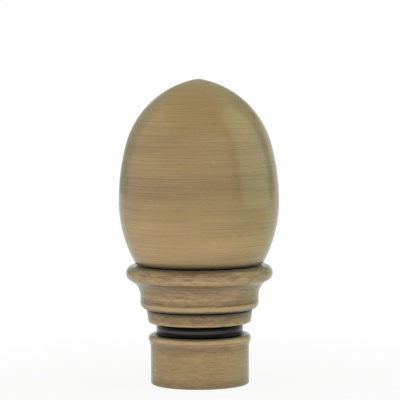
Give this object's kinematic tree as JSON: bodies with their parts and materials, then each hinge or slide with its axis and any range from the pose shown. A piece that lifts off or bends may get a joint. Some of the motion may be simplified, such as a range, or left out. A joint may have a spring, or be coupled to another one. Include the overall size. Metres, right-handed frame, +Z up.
{
  "type": "curtain pole finial",
  "caption": "Turned metal curtain pole finial: brushed egg-shaped knob on a moulded collar, dark grooved neck and a round socket that caps the end of a pole.",
  "frame": {"origin": "centre of the socket's mouth, on the flat rim that the finial can stand on", "axes": "+Z up along the turning axis from the socket to the tip of the egg; +Y to the back, where the grub screw is; the pole leaves along -Z"},
  "size_m": [0.0553, 0.0552, 0.1053],
  "materials": {
    "antique_brass": "blackened, then brushed bright on the lathe and lacquered",
    "blackened_steel": "black oxide"
  },
  "bodies": {
    "root": {"finial": "antique_brass", "grub_screw": "blackened_steel"}
  },
  "joints": []
}
